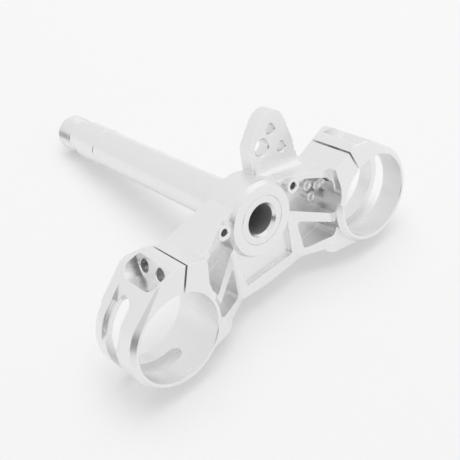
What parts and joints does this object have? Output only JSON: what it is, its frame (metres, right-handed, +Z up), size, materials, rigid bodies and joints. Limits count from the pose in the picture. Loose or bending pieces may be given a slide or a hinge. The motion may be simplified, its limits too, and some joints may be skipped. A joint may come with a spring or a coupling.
{
  "type": "motorcycle triple clamp",
  "caption": "Lower fork clamp of a motorcycle: split fork rings on a ribbed, pocketed bar, with a long hollow steering stem and a bracket lug.",
  "frame": {"origin": "On the steering axis at the hub's rear face, where the lower bearing seat starts.", "axes": "The part lies as it rests. +X runs across to the ring beside the lug, +Y along the floor towards the stem's tip, +Z up. The steering axis falls by about 13.4 degrees from the hub to the tip."},
  "size_m": [0.248, 0.2574, 0.1196],
  "materials": {
    "machined_aluminium": "fine satin, milled and lightly blasted",
    "turned_aluminium": "satin, turned"
  },
  "bodies": {
    "root": {"yoke": "machined_aluminium", "steering_stem": "turned_aluminium"}
  },
  "joints": []
}
